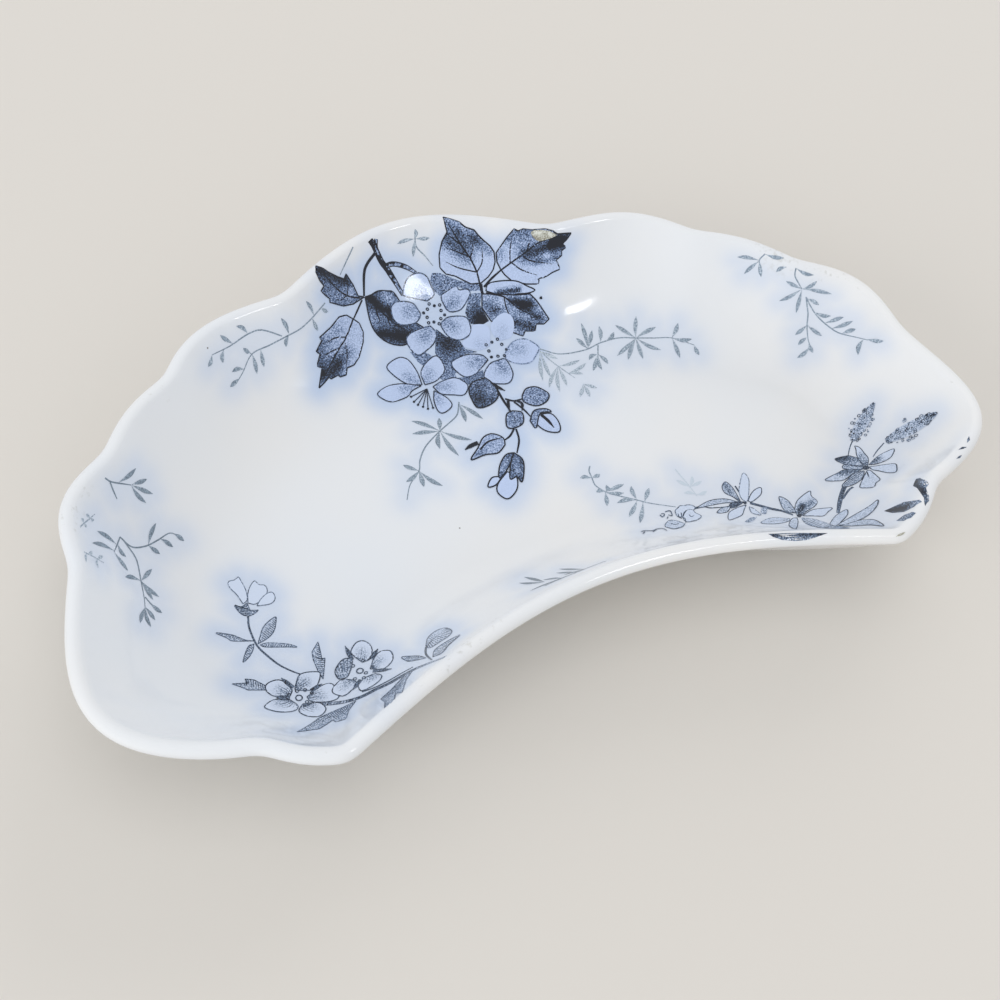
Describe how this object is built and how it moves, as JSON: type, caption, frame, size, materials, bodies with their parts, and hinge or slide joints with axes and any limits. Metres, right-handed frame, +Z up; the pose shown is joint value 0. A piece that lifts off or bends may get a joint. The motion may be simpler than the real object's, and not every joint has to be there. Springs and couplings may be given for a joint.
{
  "type": "bone dish",
  "caption": "Crescent side dish of glazed earthenware with a scalloped back, two horn corners and a bowed front edge that curves round a dinner plate.",
  "frame": {"origin": "middle of the bounding box, on the table under the foot rim", "axes": "+X along the length, +Y from the bowed front edge to the back lobe, +Z up"},
  "size_m": [0.16, 0.0904, 0.02],
  "materials": {
    "biscuit_earthenware": "unglazed biscuit-fired white earthenware, bare only on the foot rim",
    "clear_glaze": "glossy clear glaze over white clay, blue-grey floral transfer print beneath it"
  },
  "bodies": {
    "root": {"earthenware_body": "biscuit_earthenware", "glaze_coat": "clear_glaze", "base_glaze": "clear_glaze"}
  },
  "joints": []
}
